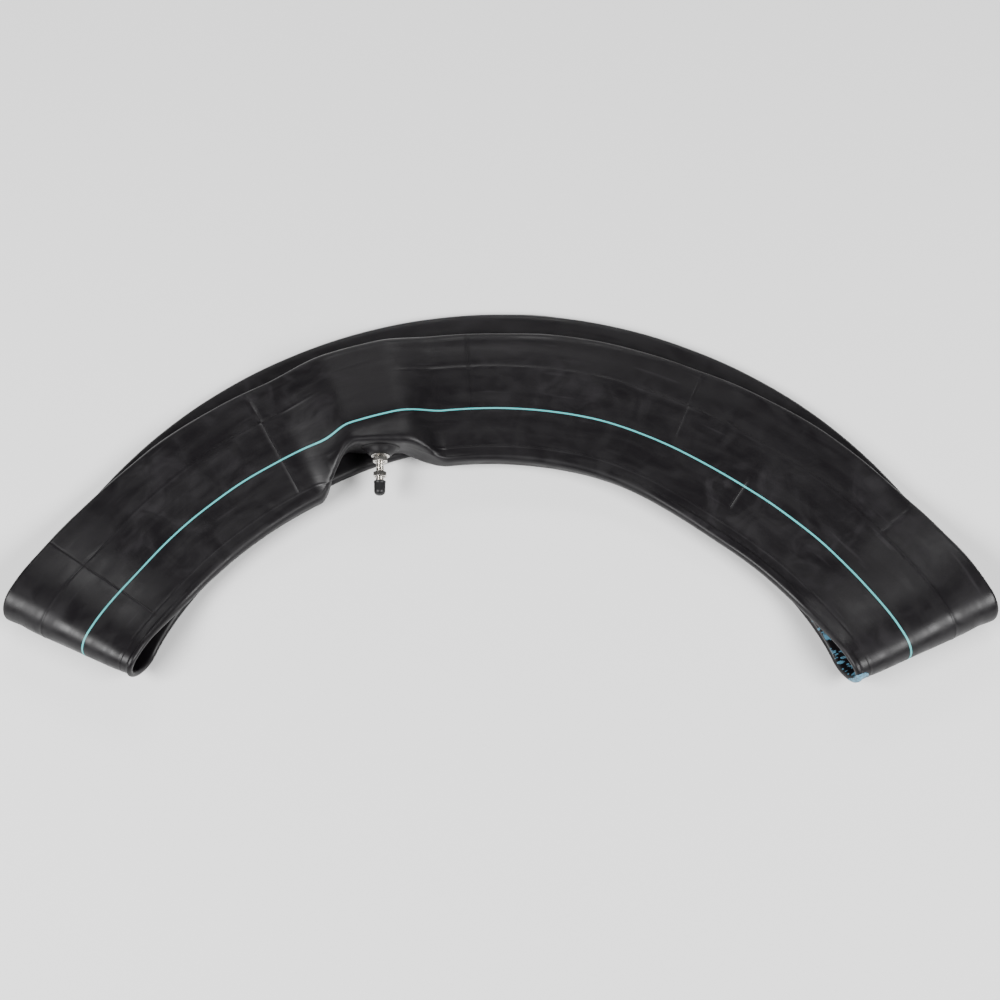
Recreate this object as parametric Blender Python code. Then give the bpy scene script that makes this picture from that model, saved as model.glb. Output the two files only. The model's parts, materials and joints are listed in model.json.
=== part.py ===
"""Motorcycle inner tube: let down, pressed flat and folded in half, lying on a table.

The flattened tube is a band with two thick edges. It makes an arch of two layers, one on the other,
joined by a soft fold at each end. The threaded metal valve stands out of the inner edge of the upper
layer, where its stiff base keeps the tube open. Metres, +Z up, the arch open towards -Y.
"""

import math

import bmesh
import bpy
import numpy as np
from mathutils import Matrix, Vector

MM = 0.001

# Tube wall and band.
GIRTH = 268 * MM  # once round the cross-section
WALL = 2.2 * MM
LOWER_THICKNESS = 10 * MM  # the band under load
UPPER_THICKNESS = 9.5 * MM
SWELL = 8 * MM  # more thickness where some air is left
SWELL_ANGLE = math.radians(-10)
SWELL_REACH = math.radians(46)
SPREAD = 11 * MM  # more width where the band is pulled flat, right of the middle
SPREAD_START = math.radians(12)
SPREAD_REACH = math.radians(24)
CROWN = 1.5 * MM  # rise of the upper face's middle
LAYER_GAP = 1.2 * MM
CORNER = 5.5 * MM  # radius along the thick inner edge at the valve
CORNER_SHARE = 0.45  # a thinner edge's corners take this share of it at most

# Arch in plan: angles from the middle of the arch, negative to the left.
OUTER_RADIUS = 467 * MM  # outer edge of the upper layer
HALF_ANGLE = math.radians(61.4)
TAPER = 4 * MM  # how far the outer edge draws in beside a fold
TAPER_REACH = math.radians(16)
LOWER_INSET = 35 * MM  # the lower layer bends this much more tightly
LOWER_ADVANCE = 62 * MM  # its centre's distance in front of the upper layer's
LOWER_TAPER = 7 * MM  # how far its inner edge draws back beside a fold

# Folds.
FOLD_OPENING = 28.2 * MM  # clear height inside a loop
FOLD_GAP = 2 * MM  # air left between the walls where the band is bent
FOLD_SLOPE = 130 * MM  # run over which the upper layer comes down and both layers thicken
FOLD_LEVEL = 8 * MM  # level run next to the fold
FOLD_STEPS = 10

# Valve seat on the tube.
VALVE_ANGLE = math.radians(-16.2)
VALVE_DROOP = math.radians(6)
FACE_MARGIN = 0.5 * MM  # flat face round the base pad
FACE_EASE = 38 * MM  # run right of the face where the inner edge curves back
FACE_EASE_LEFT = 46 * MM  # and left of it, towards the nearer fold
SHOULDER_LEAN = 0.7  # most lean of the edge left of the face, for each unit of height
FACE_SLACK = 11.8 * MM  # width that the hollow above the valve takes up
AIR_HOLE_MARGIN = 0.95 * MM  # hole in the tube's wall, wider than the stem's bore

# Valve, along its own axis from the base pad outwards.
FIT_GAP = 0.3 * MM  # between pieces that touch or screw together
PAD_MARGIN_LONG = 9 * MM  # pad beyond the washer, along the tube
PAD_MARGIN_HIGH = 5 * MM  # and across it
PAD_EDGE = 1.4 * MM
PAD_HEIGHT = 6.2 * MM
FLANGE_RADIUS = 8 * MM
FLANGE_THICKNESS = 1.5 * MM
STEM_WALL = 0.6 * MM  # beside the core's chamber, at the key flats
KEY_FLAT_DEPTH = 0.5 * MM
STEM_CHAMFER = 0.4 * MM
WASHER_RADIUS = 8 * MM
WASHER_THICKNESS = 1.5 * MM
WASHER_LIP = 0.4 * MM
WASHER_RIM = 2 * MM  # width of its raised edge
WASHER_LAND = 1.4 * MM  # and of the flat under that edge
NUT_HEIGHT = 4.2 * MM
CLAMP_NUT_WALL = 1.85 * MM  # from the thread to a flat
RIM_NUT_WALL = 1.35 * MM
RIM_NUT_STANDOFF = 9.1 * MM  # free thread below the rim nut
CAP_STANDOFF = 3.8 * MM  # free thread between rim nut and cap
CAP_THREAD = 8.4 * MM  # length of stem inside the cap
CAP_WALL = 0.8 * MM
CAP_RIM = 0.2 * MM  # how far the rim stands out
CAP_RIM_HEIGHT = 1.6 * MM
CAP_SHOULDER = 4 * MM  # height of the dome
CAP_FULLNESS = 0.8  # 1 is a round dome, less is a fuller one
CAP_ROOF = 2.6 * MM
CAP_GASKET_THICKNESS = 1 * MM
CAP_GASKET_HOLE = 1.5 * MM

# Valve core, its depths measured from the stem's tip inwards.
CORE_GAP = 0.2 * MM
PIN_RADIUS = 0.55 * MM
PIN_TOP = 0.4 * MM
PIN_HEAD = 0.3 * MM  # how much wider the pin's head is
PIN_HEAD_LENGTH = 0.5 * MM
PIN_COLLAR_THICKNESS = 0.5 * MM
SPRING_WIRE_RADIUS = 0.16 * MM
SPRING_CLEARANCE = 0.24 * MM  # to the pin and to the barrel
SPRING_TURNS = 6
BARREL_WALL = 0.4 * MM
BARREL_LENGTH = 9.2 * MM
BARREL_FLOOR = 0.8 * MM
GASKET_WALL = 0.5 * MM
GASKET_LENGTH = 1 * MM
GASKET_DEPTH = 0.5 * MM  # below the barrel's top
SEAT_LENGTH = 0.9 * MM  # conical seat under the gasket
PLUG_TOP = 1 * MM
PLUG_LENGTH = 4 * MM
PLUG_WEB = 0.5 * MM
PLUG_BRIDGE_WALL = 0.4 * MM
PLUG_FLAT_LENGTH = 1.5 * MM
CUP_CLEARANCE = 0.45 * MM  # for air, round the cup
CUP_THICKNESS = 0.7 * MM
CUP_GASKET_THICKNESS = 0.4 * MM

ROUND = 32  # sides of turned valve pieces
FINE = 20  # sides of the core's pieces
OVERCUT = 1 * MM  # how far a cutter runs past what it cuts

# Radii of the core and stem, from the pin outwards.
PIN_BORE = PIN_RADIUS + CORE_GAP
PIN_HEAD_RADIUS = PIN_RADIUS + PIN_HEAD
PLUG_BORE = PIN_HEAD_RADIUS + CORE_GAP
BARREL_BORE = PIN_RADIUS + 2 * (SPRING_CLEARANCE + SPRING_WIRE_RADIUS)
PIN_COLLAR_RADIUS = BARREL_BORE - FIT_GAP
BARREL_RADIUS = BARREL_BORE + BARREL_WALL
PLUG_RADIUS = BARREL_RADIUS + CORE_GAP + GASKET_WALL
CHAMBER_RADIUS = PLUG_RADIUS + FIT_GAP
STEM_BORE = BARREL_RADIUS + FIT_GAP
CUP_RADIUS = STEM_BORE - CUP_CLEARANCE
STEM_FLAT = CHAMBER_RADIUS + STEM_WALL
STEM_RADIUS = STEM_FLAT + KEY_FLAT_DEPTH  # the standard valve thread
THREAD_BORE = STEM_RADIUS + FIT_GAP
CAP_RADIUS = THREAD_BORE + CAP_WALL

# Heights along the valve, and the seat that takes its pad.
WASHER_BASE = FIT_GAP
CLAMP_NUT_BASE = WASHER_BASE + WASHER_THICKNESS + FIT_GAP
RIM_NUT_BASE = CLAMP_NUT_BASE + NUT_HEIGHT + RIM_NUT_STANDOFF
CAP_BASE = RIM_NUT_BASE + NUT_HEIGHT + CAP_STANDOFF
STEM_LENGTH = CAP_BASE + CAP_THREAD
CAP_GASKET_BASE = STEM_LENGTH + FIT_GAP
CAP_CEILING = CAP_GASKET_BASE + CAP_GASKET_THICKNESS + FIT_GAP
PAD_SEAT = WASHER_RADIUS + FIT_GAP
PAD_HALF_LENGTH = WASHER_RADIUS + PAD_MARGIN_LONG
PAD_HALF_HEIGHT = WASHER_RADIUS + PAD_MARGIN_HIGH
FACE_LENGTH = 2 * (PAD_HALF_LENGTH + FACE_MARGIN)
FACE_HEIGHT = 2 * (PAD_HALF_HEIGHT + FACE_MARGIN + CORNER)

# Depths inside the stem.
BARREL_TOP = PLUG_TOP + PLUG_LENGTH + CORE_GAP
BARREL_END = BARREL_TOP + BARREL_LENGTH
GASKET_TOP = BARREL_TOP + GASKET_DEPTH
CHAMBER_DEPTH = GASKET_TOP + GASKET_LENGTH + CORE_GAP
COLLAR_TOP = BARREL_TOP + PLUG_WEB
SPRING_TOP = COLLAR_TOP + PIN_COLLAR_THICKNESS + CORE_GAP + SPRING_WIRE_RADIUS
SPRING_END = BARREL_END - BARREL_FLOOR - CORE_GAP - SPRING_WIRE_RADIUS
CUP_GASKET_TOP = BARREL_END + CORE_GAP
CUP_TOP = CUP_GASKET_TOP + CUP_GASKET_THICKNESS + CORE_GAP
PIN_RIVET = CUP_TOP + CUP_THICKNESS + CORE_GAP
PIN_END = PIN_RIVET + CORE_GAP

# Lower layer and folds.
LOWER_RADIUS = OUTER_RADIUS - LOWER_INSET
LOWER_HALF_ANGLE = HALF_ANGLE + math.asin(LOWER_ADVANCE * math.sin(HALF_ANGLE) / LOWER_RADIUS)
FOLD_THICKNESS = 2 * WALL + FOLD_GAP
FOLD_HEIGHT = FOLD_OPENING + 2 * FOLD_THICKNESS

UP = np.array([0.0, 0.0, 1.0])


# ------------------------------------------------------------------ the folded band


def eased(value):
    """0 to 1 with level ends."""
    value = np.clip(value, 0.0, 1.0)
    return value * value * (3 - 2 * value)


def radial(angle):
    return np.array([math.sin(angle), math.cos(angle), 0.0])


def along(angle):
    return np.array([math.cos(angle), -math.sin(angle), 0.0])


def valve_share(angle):
    """1 on the flat face under the valve, 0 away from it."""
    distance = (angle - VALVE_ANGLE) * face_distance()
    ease = FACE_EASE if distance > 0 else FACE_EASE_LEFT
    return 1 - eased((abs(distance) - FACE_LENGTH / 2) / ease)


def swell_share(angle):
    return 1 - eased(abs(angle - SWELL_ANGLE) / SWELL_REACH)


def spread_share(angle):
    return eased((angle - SPREAD_START) / SPREAD_REACH)


def fold_share(angle):
    """1 beside a fold, 0 where the upper layer rests on the lower one."""
    run = (HALF_ANGLE - abs(angle)) * OUTER_RADIUS - FOLD_LEVEL
    share = min(max(run / FOLD_SLOPE, 0), 1)
    return (1 - share) ** 3 * (1 + 3 * share)


def lower_fold_share(angle):
    """1 beside a fold, 0 where the lower layer lies plain."""
    return 1 - eased((LOWER_HALF_ANGLE - abs(angle)) * LOWER_RADIUS / FOLD_SLOPE)


def upper_edge(angle):
    """Radius of the upper layer's outer edge."""
    beside_fold = 1 - eased((HALF_ANGLE - abs(angle)) / TAPER_REACH)
    return OUTER_RADIUS - TAPER * beside_fold


def edge_corner(inner_thickness):
    return min(CORNER, CORNER_SHARE * inner_thickness)


def band_width(thickness, inner_thickness):
    """Width that leaves the girth unchanged, for these thicknesses at the outer and inner edge."""
    corner = edge_corner(inner_thickness)
    caps = math.pi * (thickness / 2 + corner) + inner_thickness - 2 * corner
    slant = (GIRTH - caps) / 2
    drop = (inner_thickness - thickness) / 2
    return math.sqrt(slant**2 - drop**2) + thickness / 2 + corner


class Station:
    """One cross-section of the band, in the upright plane through an arch's centre at this angle.

    Its inner edge stands upright, or leans out by lean for each unit of height.
    """

    def __init__(self, angle, inner_edge, outer_edge, height, outside, thickness,
                 inner_thickness=None, crown=0.0, lean=0.0, centre=(0.0, 0.0, 0.0)):
        self.across = radial(angle)
        self.inner_edge = inner_edge
        self.width = outer_edge - inner_edge
        self.middle = np.array(centre) + UP * height
        self.outside = outside
        self.thickness = thickness
        self.inner_thickness = inner_thickness or thickness
        self.crown = crown
        self.lean = lean

    def points(self, inset, cap_steps=4, run_steps=5, corner_steps=2, face_steps=2):
        """The section's outline as points in space, moved in by inset from the outer surface."""
        half = self.thickness / 2
        inner_half = self.inner_thickness / 2
        corner = edge_corner(self.inner_thickness)
        run = self.width - half - corner
        slope = math.atan2(inner_half - half, run)
        quarter = math.pi / 2

        def arc(across, height, radius, start, end, steps):
            turns = np.linspace(start, end, steps + 1)
            radius = radius - inset
            return [(across + radius * math.cos(t), height + radius * math.sin(t)) for t in turns]

        def placed(across, height):
            shift = self.lean * height * (1 - across / self.width) ** 3
            return self.middle + self.across * (self.inner_edge + across - shift) + self.outside * height

        cap = arc(run + corner, 0, half, slope - quarter, quarter - slope, cap_steps)
        top = arc(corner, inner_half - corner, corner, quarter - slope, 2 * quarter, corner_steps)
        base = arc(corner, corner - inner_half, corner, 2 * quarter, 3 * quarter + slope, corner_steps)
        outline = cap + between(cap[-1], top[0], run_steps, self.crown)
        outline += top + between(top[-1], base[0], face_steps)
        outline += base + between(base[-1], cap[0], run_steps)
        return [placed(across, height) for across, height in outline]


def between(start, end, steps, crown=0.0):
    """The points inside a straight run, bowed out by crown."""
    shares = [step / steps for step in range(1, steps)]
    return [
        (start[0] + (end[0] - start[0]) * s, start[1] + (end[1] - start[1]) * s + crown * 4 * s * (1 - s))
        for s in shares
    ]


def upper_thickness(angle):
    plain = UPPER_THICKNESS + SWELL * swell_share(angle)
    return plain + (FOLD_THICKNESS - plain) * fold_share(angle)


def lower_thickness(angle):
    return LOWER_THICKNESS + (FOLD_THICKNESS - LOWER_THICKNESS) * lower_fold_share(angle)


def inner_thickness(angle):
    thickness = upper_thickness(angle)
    return thickness + (FACE_HEIGHT - thickness) * valve_share(angle)


def upper_height(angle):
    """Height of the upper layer's middle."""
    thickness = upper_thickness(angle)
    rest = LOWER_THICKNESS + LAYER_GAP + inner_thickness(angle) / 2
    raised = FOLD_HEIGHT - thickness / 2
    return rest + (raised - rest) * fold_share(angle)


def face_distance():
    """From the arch's centre to the flat face under the valve, which uses up the band's girth."""
    width = band_width(upper_thickness(VALVE_ANGLE), FACE_HEIGHT) - FACE_SLACK
    return (OUTER_RADIUS - width) * math.cos(VALVE_ANGLE)


def upper_station(angle):
    step = 1e-4  # radians
    share = valve_share(angle)
    thickness = upper_thickness(angle)
    outer_edge = upper_edge(angle)
    plain_edge = OUTER_RADIUS - band_width(thickness, thickness) - SPREAD * spread_share(angle)
    inner_edge = plain_edge + (face_distance() / math.cos(angle) - plain_edge) * share
    rise = upper_height(angle + step) - upper_height(angle - step)
    outside = UP - along(angle) * rise / (2 * step * OUTER_RADIUS)
    outside /= np.linalg.norm(outside)
    crown = CROWN * (1 - fold_share(angle)) * (1 - share)
    lean = math.tan(VALVE_DROOP) / math.cos(angle) * share
    if angle < VALVE_ANGLE:
        lean += SHOULDER_LEAN * 4 * share * (1 - share)
    return Station(angle, inner_edge, outer_edge, upper_height(angle), outside, thickness,
                   inner_thickness(angle), crown, lean)


def lower_station(angle):
    thickness = lower_thickness(angle)
    width = band_width(thickness, thickness) + SPREAD * spread_share(angle)
    width -= LOWER_TAPER * lower_fold_share(angle)
    return Station(angle, LOWER_RADIUS - width, LOWER_RADIUS, thickness / 2, -UP, thickness,
                   centre=(0, LOWER_ADVANCE, 0))


def fold_station(side, share):
    """Round a fold, from the upper layer at 0 to the lower one at 1; side is +1 right, -1 left."""
    turn = math.pi * share
    drift = eased(share)
    top = FOLD_HEIGHT - FOLD_THICKNESS / 2
    low = FOLD_THICKNESS / 2
    radius = (top - low) / 2
    angle = side * (HALF_ANGLE + (LOWER_HALF_ANGLE - HALF_ANGLE) * drift)
    away = along(angle) * side
    start = upper_edge(HALF_ANGLE)
    outer_edge = start + (LOWER_RADIUS - start) * drift
    width = band_width(FOLD_THICKNESS, FOLD_THICKNESS) + SPREAD * spread_share(angle)
    width -= TAPER * (1 - drift) + LOWER_TAPER * drift
    centre = away * radius * math.sin(turn) + np.array((0, LOWER_ADVANCE * drift, 0))
    return Station(angle, outer_edge - width, outer_edge, (top + low) / 2 + radius * math.cos(turn),
                   away * math.sin(turn) + UP * math.cos(turn), FOLD_THICKNESS, centre=centre)


def spaced(start, end, step):
    """Angles from start up to but not including end, about step metres apart along the edge."""
    count = max(1, round(abs(end - start) * OUTER_RADIUS / step))
    return list(np.linspace(start, end, count + 1)[:-1])


def band_stations(plain_step=24 * MM, valve_step=9 * MM, lower_step=44 * MM, fold_steps=FOLD_STEPS):
    """Once round the ring: upper layer left to right, right fold, lower layer back, left fold."""
    left = VALVE_ANGLE - (FACE_LENGTH / 2 + FACE_EASE_LEFT) / face_distance()
    right = VALVE_ANGLE + (FACE_LENGTH / 2 + FACE_EASE) / face_distance()
    angles = spaced(-HALF_ANGLE, left, plain_step)
    angles += spaced(left, right, valve_step)
    angles += spaced(right, HALF_ANGLE, plain_step)
    under = spaced(LOWER_HALF_ANGLE, -LOWER_HALF_ANGLE, lower_step)
    stations = [upper_station(angle) for angle in angles]
    stations += [fold_station(1, step / fold_steps) for step in range(fold_steps)]
    stations += [lower_station(angle) for angle in under]
    stations += [fold_station(-1, 1 - step / fold_steps) for step in range(fold_steps)]
    return stations


def arch_centre():
    """Where the arch's centre lies, with the model's origin under the middle of its box."""
    points = np.array([p for station in band_stations() for p in station.points(0.0)])
    middle = (points.min(axis=0) + points.max(axis=0)) / 2
    return Vector((-middle[0], -middle[1], 0.0))


# ------------------------------------------------------------------ general shapes


def material(name, colour, roughness, metallic=0.0):
    made = bpy.data.materials.new(name)
    made.use_nodes = True
    shader = made.node_tree.nodes["Principled BSDF"]
    shader.inputs["Base Color"].default_value = (*colour, 1.0)
    shader.inputs["Roughness"].default_value = roughness
    shader.inputs["Metallic"].default_value = metallic
    return made


def finished(name, bm, look, parent=None):
    """A named object from a bmesh, with its faces outwards and smooth between its sharp edges."""
    bmesh.ops.recalc_face_normals(bm, faces=bm.faces)
    mesh = bpy.data.meshes.new(name)
    bm.to_mesh(mesh)
    bm.free()
    mesh.shade_smooth()
    mesh.set_sharp_from_angle(angle=math.radians(35))
    mesh.materials.append(look)
    obj = bpy.data.objects.new(name, mesh)
    bpy.context.collection.objects.link(obj)
    obj.parent = parent
    return obj


def turned(profile, sides):
    """A closed outline of (radius, height) points turned about Z; a radius of 0 is on the axis."""
    bm = bmesh.new()
    rings = []
    for radius, height in profile:
        count = sides if radius > 0 else 1
        turns = [2 * math.pi * side / sides for side in range(count)]
        rings.append([bm.verts.new((radius * math.cos(t), radius * math.sin(t), height)) for t in turns])
    for ring, following in zip(rings, rings[1:] + rings[:1]):
        for side in range(sides):
            corners = [ring[side % len(ring)], ring[(side + 1) % len(ring)],
                       following[(side + 1) % len(following)], following[side % len(following)]]
            corners = list(dict.fromkeys(corners))
            if len(corners) > 2:
                bm.faces.new(corners)
    return bm


def tube_between(low, high, inner, outer):
    """A plain ring's outline, for turned."""
    return [(inner, low), (outer, low), (outer, high), (inner, high)]


def prism(sides, radius, low, high):
    bm = bmesh.new()
    bmesh.ops.create_cone(
        bm, cap_ends=True, segments=sides, radius1=radius, radius2=radius, depth=high - low,
        matrix=Matrix.Translation((0, 0, (low + high) / 2)),
    )
    return bm


def block(middle, size):
    bm = bmesh.new()
    bmesh.ops.create_cube(bm, size=1, matrix=Matrix.Translation(middle) @ Matrix.Diagonal((*size, 1)))
    return bm


def cutter(name, bm, parent=None):
    """A shape that only cuts."""
    obj = finished(name, bm, bpy.data.materials["cutter"], parent)
    obj.hide_render = True
    obj.display_type = "WIRE"
    return obj


def cut(obj, tool, operation="DIFFERENCE"):
    modifier = obj.modifiers.new(tool.name, "BOOLEAN")
    modifier.operation = operation
    modifier.object = tool


# ------------------------------------------------------------------ rubber pieces


def tube_body(look, origin, valve):
    """The hollow band; its cavity opens through the hole under the valve."""
    bm = bmesh.new()
    stations = band_stations()
    for inset in (0.0, WALL):
        rings = [
            [bm.verts.new(Vector(point) + origin) for point in station.points(inset)]
            for station in stations
        ]
        for ring, following in zip(rings, rings[1:] + rings[:1]):
            for side in range(len(ring)):
                after = (side + 1) % len(ring)
                corners = [ring[side], ring[after], following[after], following[side]]
                bm.faces.new(corners if inset else corners[::-1])
    mesh = bpy.data.meshes.new("tube_body")
    bm.to_mesh(mesh)
    bm.free()
    mesh.shade_smooth()
    mesh.set_sharp_from_angle(angle=math.radians(50))
    mesh.materials.append(look)
    body = bpy.data.objects.new("tube_body", mesh)
    bpy.context.collection.objects.link(body)
    face = -PAD_HEIGHT - FIT_GAP
    hole = prism(FINE, STEM_BORE + AIR_HOLE_MARGIN, face - WALL - OVERCUT, face + OVERCUT)
    cut(body, cutter("stem_hole", hole, valve))
    return body


def valve_base_pad(look, valve):
    """Domed oval patch, bonded round the valve's flange, with a flat seat for the ridge washer."""
    bm = bmesh.new()
    base = -PAD_HEIGHT
    levels = 6
    outlines = [(1.0, base)]
    for level in range(levels + 1):
        spread = 1 - level / levels
        outlines.append((spread, base + PAD_EDGE + (PAD_HEIGHT - PAD_EDGE) * eased(1 - spread)))
    rings = []
    for spread, height in outlines:
        ring = []
        for side in range(ROUND):
            turn = 2 * math.pi * side / ROUND
            x = (PAD_SEAT + (PAD_HALF_LENGTH - PAD_SEAT) * spread) * math.cos(turn)
            y = (PAD_SEAT + (PAD_HALF_HEIGHT - PAD_SEAT) * spread) * math.sin(turn)
            ring.append(bm.verts.new((x, y, height)))
        rings.append(ring)
    for ring, following in zip(rings, rings[1:]):
        for side in range(ROUND):
            after = (side + 1) % ROUND
            bm.faces.new((ring[side], ring[after], following[after], following[side]))
    bm.faces.new(rings[0][::-1])
    bm.faces.new(rings[-1])
    pad = finished("valve_base_pad", bm, look, valve)
    recess = prism(ROUND, FLANGE_RADIUS + FIT_GAP, base - OVERCUT, base + FLANGE_THICKNESS + FIT_GAP)
    cut(pad, cutter("flange_recess", recess, valve))
    cut(pad, cutter("stem_passage", prism(ROUND, THREAD_BORE, base, OVERCUT), valve))
    return pad


# ------------------------------------------------------------------ valve hardware


def valve_stem(look, valve):
    """Threaded stem with its flange, two key flats and the stepped bore for the core."""
    base = -PAD_HEIGHT
    tip = STEM_LENGTH
    chamber = tip - CHAMBER_DEPTH
    profile = [
        (STEM_BORE, base), (FLANGE_RADIUS, base), (FLANGE_RADIUS, base + FLANGE_THICKNESS),
        (STEM_RADIUS, base + FLANGE_THICKNESS), (STEM_RADIUS, tip - STEM_CHAMFER),
        (STEM_RADIUS - STEM_CHAMFER, tip), (CHAMBER_RADIUS, tip), (CHAMBER_RADIUS, chamber),
        (STEM_BORE, chamber - SEAT_LENGTH),
    ]
    stem = finished("valve_stem", turned(profile, ROUND), look, valve)
    size = Vector((STEM_RADIUS, 3 * STEM_RADIUS, tip - WASHER_BASE + OVERCUT))
    for name, side in (("left", -1), ("right", 1)):
        middle = Vector((side * (STEM_FLAT + size.x / 2), 0, WASHER_BASE + size.z / 2))
        cut(stem, cutter("key_flat_" + name, block(middle, size), valve))
    return stem


def ridge_washer(look, valve):
    """Dished washer with a raised rim that bites the pad and holds the rim."""
    top = WASHER_BASE + WASHER_THICKNESS
    profile = [
        (THREAD_BORE, WASHER_BASE + WASHER_LIP), (WASHER_RADIUS - WASHER_RIM, WASHER_BASE + WASHER_LIP),
        (WASHER_RADIUS - WASHER_LAND, WASHER_BASE), (WASHER_RADIUS, WASHER_BASE),
        (WASHER_RADIUS, top - 2 * WASHER_LIP), (WASHER_RADIUS - WASHER_RIM, top), (THREAD_BORE, top),
    ]
    return finished("ridge_washer", turned(profile, ROUND), look, valve)


def hex_nut(name, base, wall, look, valve):
    """Chamfered nut whose flats stand this wall's thickness outside the thread."""
    flat = THREAD_BORE + wall
    corner = flat / math.cos(math.pi / 6)
    top = base + NUT_HEIGHT
    nut = finished(name, prism(6, corner, base, top), look, valve)
    slope = corner - flat
    shape = [
        (0, base), (flat, base), (corner + slope, base + 2 * slope), (corner + slope, top - 2 * slope),
        (flat, top), (0, top),
    ]
    cut(nut, cutter(name + "_chamfer", turned(shape, ROUND), valve), "INTERSECT")
    bore = prism(ROUND, THREAD_BORE, base - OVERCUT, top + OVERCUT)
    cut(nut, cutter(name + "_bore", bore, valve))
    return nut


def cap_shell(look, valve):
    """Domed cap with a slightly wider rim."""
    roof = CAP_CEILING + CAP_ROOF
    shoulder = roof - CAP_SHOULDER
    rim_top = CAP_BASE + CAP_RIM_HEIGHT
    profile = [
        (0, CAP_CEILING), (THREAD_BORE, CAP_CEILING), (THREAD_BORE, CAP_BASE),
        (CAP_RADIUS + CAP_RIM, CAP_BASE), (CAP_RADIUS + CAP_RIM, rim_top),
        (CAP_RADIUS, rim_top + 2 * CAP_RIM),
    ]
    steps = 5
    for step in range(steps):
        turn = math.pi / 2 * step / steps
        radius = CAP_RADIUS * math.cos(turn) ** CAP_FULLNESS
        profile.append((radius, shoulder + CAP_SHOULDER * math.sin(turn)))
    profile.append((0, roof))
    return finished("cap_shell", turned(profile, ROUND), look, valve)


def cap_gasket(look, valve):
    top = CAP_GASKET_BASE + CAP_GASKET_THICKNESS
    profile = tube_between(CAP_GASKET_BASE, top, CAP_GASKET_HOLE, STEM_RADIUS)
    return finished("cap_gasket", turned(profile, ROUND), look, valve)


# ------------------------------------------------------------------ valve core


def depths(profile):
    """An outline in depths from the stem's tip, as heights."""
    return [(radius, STEM_LENGTH - depth) for radius, depth in profile]


def core_plug(look, valve):
    """Screwed plug with a driving bridge of two flats."""
    profile = tube_between(PLUG_TOP, PLUG_TOP + PLUG_LENGTH, PLUG_BORE, PLUG_RADIUS)
    plug = finished("core_plug", turned(depths(profile), FINE), look, valve)
    size = Vector((3 * PLUG_RADIUS, PLUG_RADIUS, 2 * PLUG_FLAT_LENGTH))
    for name, side in (("left", -1), ("right", 1)):
        flat = PLUG_BORE + PLUG_BRIDGE_WALL
        middle = Vector((0, side * (flat + size.y / 2), STEM_LENGTH - PLUG_TOP))
        cut(plug, cutter("plug_flat_" + name, block(middle, size), valve))
    return plug


def core_barrel(look, valve):
    floor = BARREL_END - BARREL_FLOOR
    profile = [(BARREL_BORE, BARREL_TOP), (BARREL_RADIUS, BARREL_TOP), (BARREL_RADIUS, BARREL_END),
               (PIN_BORE, BARREL_END), (PIN_BORE, floor), (BARREL_BORE, floor)]
    return finished("core_barrel", turned(depths(profile), FINE), look, valve)


def core_barrel_gasket(look, valve):
    """Ring that seals the barrel on the stem's conical seat."""
    profile = tube_between(GASKET_TOP, GASKET_TOP + GASKET_LENGTH, BARREL_RADIUS + CORE_GAP, PLUG_RADIUS)
    return finished("core_barrel_gasket", turned(depths(profile), FINE), look, valve)


def core_pin(look, valve):
    """Pin with a head to press, a collar for its spring and a riveted end that holds the cup."""
    head = PIN_TOP + PIN_HEAD_LENGTH
    collar = COLLAR_TOP + PIN_COLLAR_THICKNESS
    rivet = PIN_BORE + CORE_GAP
    profile = [
        (0, PIN_TOP), (PIN_HEAD_RADIUS, PIN_TOP), (PIN_HEAD_RADIUS, head), (PIN_RADIUS, head),
        (PIN_RADIUS, COLLAR_TOP), (PIN_COLLAR_RADIUS, COLLAR_TOP), (PIN_COLLAR_RADIUS, collar),
        (PIN_RADIUS, collar), (PIN_RADIUS, PIN_RIVET), (rivet, PIN_RIVET), (rivet, PIN_END), (0, PIN_END),
    ]
    return finished("core_pin", turned(depths(profile), FINE), look, valve)


def core_ring(name, top, thickness, look, valve):
    profile = tube_between(top, top + thickness, PIN_BORE, CUP_RADIUS)
    return finished(name, turned(depths(profile), FINE), look, valve)


def core_spring(look, valve):
    """Round wire wound round the pin, between the pin's collar and the barrel's floor."""
    curve = bpy.data.curves.new("core_spring", "CURVE")
    curve.dimensions = "3D"
    curve.bevel_depth = SPRING_WIRE_RADIUS
    curve.bevel_resolution = 1
    curve.use_fill_caps = True
    spline = curve.splines.new("POLY")
    steps = SPRING_TURNS * 12
    spline.points.add(steps)
    radius = (PIN_RADIUS + BARREL_BORE) / 2
    for step, point in enumerate(spline.points):
        turn = 2 * math.pi * SPRING_TURNS * step / steps
        depth = SPRING_TOP + (SPRING_END - SPRING_TOP) * step / steps
        point.co = (radius * math.cos(turn), radius * math.sin(turn), STEM_LENGTH - depth, 1)
    curve.materials.append(look)
    spring = bpy.data.objects.new("core_spring", curve)
    bpy.context.collection.objects.link(spring)
    spring.parent = valve
    return spring


# ------------------------------------------------------------------ the whole


def valve_frame(origin):
    """An empty at the middle of the washer's seat, its +Z along the valve, out of the tube."""
    empty = bpy.data.objects.new("valve_axis", None)
    bpy.context.collection.objects.link(empty)
    distance = face_distance()
    outward = Vector((0, -math.cos(VALVE_DROOP), -math.sin(VALVE_DROOP)))
    face = Vector((math.tan(VALVE_ANGLE) * distance, distance, upper_height(VALVE_ANGLE))) + origin
    empty.location = face + outward * (PAD_HEIGHT + FIT_GAP)
    side = Vector((1, 0, 0))
    turn = Matrix((side, outward.cross(side), outward)).transposed()
    empty.rotation_euler = turn.to_euler()
    bpy.context.view_layer.update()
    return empty


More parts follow.
